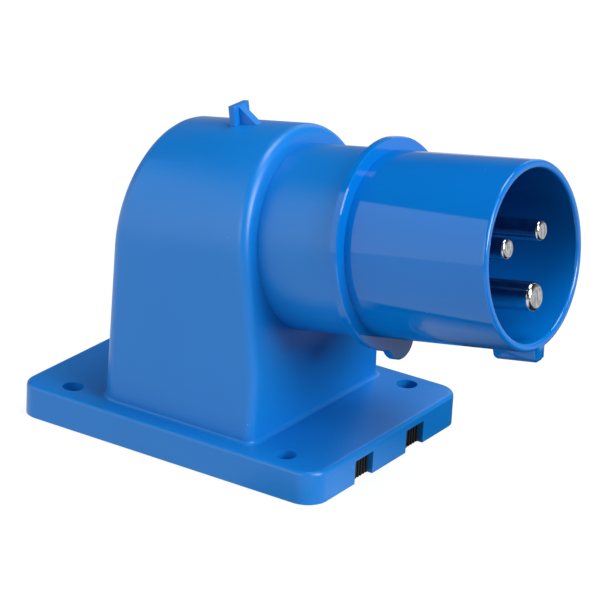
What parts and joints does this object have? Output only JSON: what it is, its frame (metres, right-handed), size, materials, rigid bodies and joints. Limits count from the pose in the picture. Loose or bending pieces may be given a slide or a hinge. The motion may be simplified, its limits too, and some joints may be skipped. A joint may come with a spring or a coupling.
{
  "type": "pin and sleeve plug",
  "caption": "Angled flange-mounted pin and sleeve power inlet: round pins in a keyed round sleeve, set in the neck of a hollow moulded hood on a rectangular flange.",
  "frame": {"origin": "middle of the flange's flat underside, where the part bolts to a panel", "axes": "+Z away from the panel, +X towards the open end of the sleeve, +Y completes the right-handed frame; the plug axis lies in the XZ plane, tilted 9.7 degrees up from +X"},
  "size_m": [0.1254, 0.0664, 0.0834],
  "materials": {
    "housing": "satin moulded",
    "sleeve": "gloss moulded",
    "carrier": "satin moulded",
    "gasket": "matt",
    "seal": "matt",
    "contacts": "nickel plated",
    "wire_guards": "bright",
    "screws": "zinc plated"
  },
  "bodies": {
    "root": {"housing": "housing", "flange_gasket": "gasket", "sleeve": "sleeve", "sleeve_seal": "seal", "pin_carrier": "carrier", "carrier_cover": "carrier", "cover_screw_left": "screws", "cover_screw_right": "screws", "line_pin": "contacts", "neutral_pin": "contacts", "earth_pin": "contacts", "line_clamp_screw_front": "screws", "line_clamp_screw_rear": "screws", "neutral_clamp_screw_front": "screws", "neutral_clamp_screw_rear": "screws", "earth_clamp_screw_front": "screws", "earth_clamp_screw_rear": "screws", "line_wire_guard": "wire_guards", "neutral_wire_guard": "wire_guards", "earth_wire_guard": "wire_guards"}
  },
  "joints": []
}
